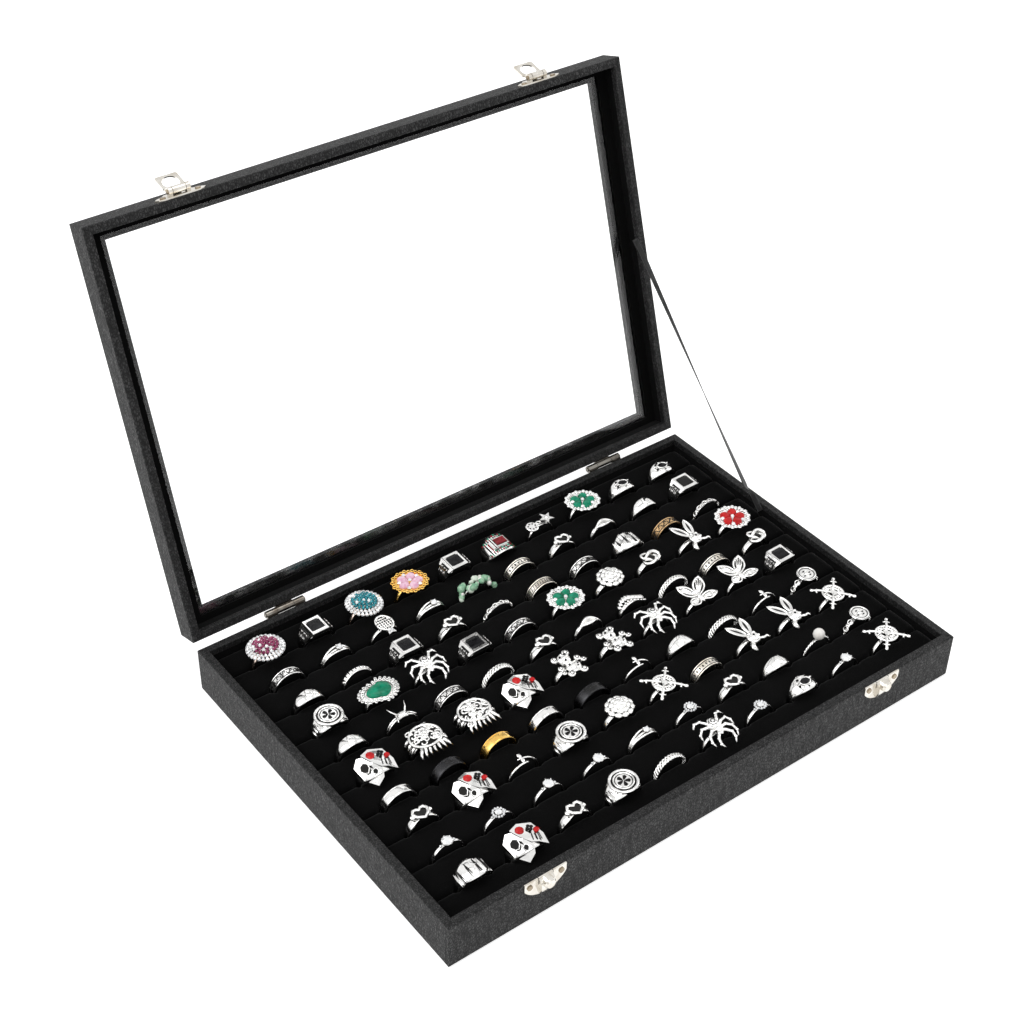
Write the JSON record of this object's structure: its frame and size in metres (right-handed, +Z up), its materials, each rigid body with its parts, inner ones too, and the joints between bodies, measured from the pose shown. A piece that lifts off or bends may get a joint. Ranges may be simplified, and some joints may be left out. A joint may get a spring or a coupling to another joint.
{
  "type": "ring display box",
  "caption": "Shallow leatherette case with slotted velvet ring insert and hinged glass lid, held open by a stay ribbon and closed by two hasp latches.",
  "frame": {"origin": "centre of the tray's underside, on the surface it stands on", "axes": "+X along the front to the right, +Y from the front to the hinges, +Z up"},
  "size_m": [0.35, 0.34, 0.2652],
  "materials": {
    "leatherette": "pebbled, satin",
    "velvet": "matt pile",
    "board": "raw fibreboard",
    "card": "grey card",
    "underside_felt": "matt",
    "glass": "clear",
    "ribbon": "satin weave",
    "ring_silver": "polished silver-coloured metal",
    "nickel": "bright nickel plate"
  },
  "bodies": {
    "tray": {"base_front_board": "board", "base_back_board": "board", "base_left_board": "board", "base_right_board": "board", "base_bottom_panel": "board", "base_underside_sheet": "underside_felt", "base_wrap": "leatherette", "base_liner": "velvet", "insert_card": "card", "foam_bar_01": "velvet", "foam_bar_02": "velvet", "foam_bar_03": "velvet", "foam_bar_04": "velvet", "foam_bar_05": "velvet", "foam_bar_06": "velvet", "foam_bar_07": "velvet", "foam_bar_08": "velvet", "foam_bar_09": "velvet", "foam_bar_10": "velvet", "foam_bar_11": "velvet", "display_rings_01_02": "ring_silver", "display_rings_03_04": "ring_silver", "display_rings_05_06": "ring_silver", "display_rings_07_08": "ring_silver", "display_rings_09_10": "ring_silver", "catch_left": "nickel", "catch_right": "nickel", "catch_nails_left": "nickel", "catch_nails_right": "nickel", "hinge_base_leaf_left": "nickel", "hinge_base_leaf_right": "nickel", "hinge_pin_left": "nickel", "hinge_pin_right": "nickel", "hinge_base_nails_left": "nickel", "hinge_base_nails_right": "nickel", "stay_patch_base": "velvet", "stay_ribbon": "ribbon"},
    "lid": {"lid_front_board": "board", "lid_back_board": "board", "lid_left_board": "board", "lid_right_board": "board", "lid_top_panel": "board", "lid_wrap": "leatherette", "lid_liner": "velvet", "glass_pane": "glass", "glass_retainer": "velvet", "hinge_lid_leaf_left": "nickel", "hinge_lid_leaf_right": "nickel", "hinge_lid_nails_left": "nickel", "hinge_lid_nails_right": "nickel", "hasp_plate_left": "nickel", "hasp_plate_right": "nickel", "hasp_pin_left": "nickel", "hasp_pin_right": "nickel", "hasp_nails_left": "nickel", "hasp_nails_right": "nickel", "stay_patch_lid": "velvet"},
    "loop_left": {"hasp_loop_left": "nickel"},
    "loop_right": {"hasp_loop_right": "nickel"}
  },
  "joints": [
    {"name": "lid_hinge", "type": "hinge", "parent": "tray", "child": "lid", "pos_m": [0, 0.1224, 0.03015], "axis": [1, 0, 0], "range_deg": [0, 107.3], "deforming": ["stay_ribbon"]},
    {"name": "loop_left_hinge", "type": "hinge", "parent": "lid", "child": "loop_left", "pos_m": [-0.117, 0.20045, 0.26308], "axis": [1, 0, 0], "range_deg": [0, 150]},
    {"name": "loop_right_hinge", "type": "hinge", "parent": "lid", "child": "loop_right", "pos_m": [0.117, 0.20045, 0.26308], "axis": [1, 0, 0], "range_deg": [0, 150]}
  ]
}
